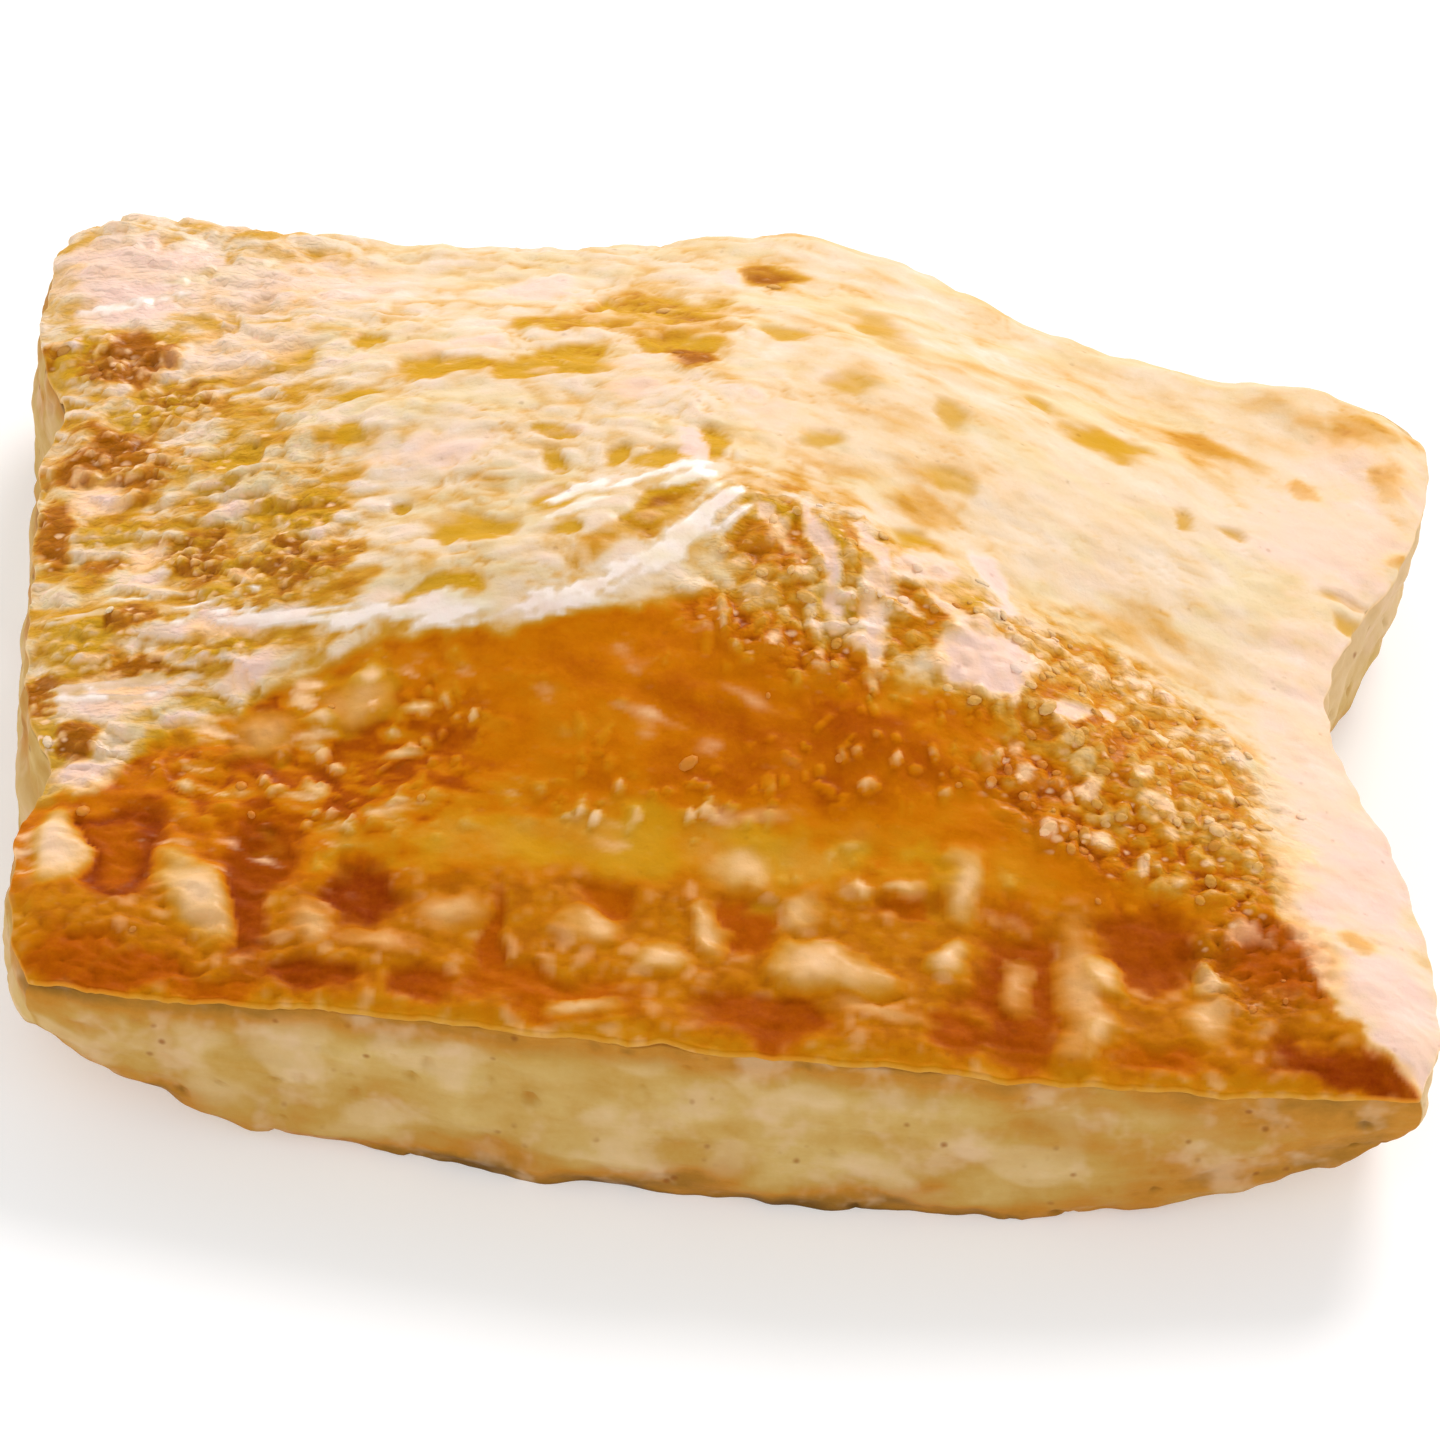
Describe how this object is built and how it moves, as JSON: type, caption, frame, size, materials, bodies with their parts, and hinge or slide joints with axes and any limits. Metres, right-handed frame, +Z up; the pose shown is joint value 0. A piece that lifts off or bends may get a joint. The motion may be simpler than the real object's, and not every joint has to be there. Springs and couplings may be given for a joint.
{
  "type": "meat pie",
  "caption": "Square puff pastry meat pie: domed glazed lid, rim pressed shut, risen layered side wall and a flat base to rest on.",
  "frame": {"origin": "centre of the bounding box's bottom, on the flat base", "axes": "+Z up, +X to the right along the pressed front edge, which faces -Y"},
  "size_m": [0.1292, 0.1154, 0.0362],
  "materials": {
    "crust": "baked pastry, satin egg glaze on the lid and dry pale layers on the side wall"
  },
  "bodies": {
    "root": {"pie": "crust"}
  },
  "joints": []
}
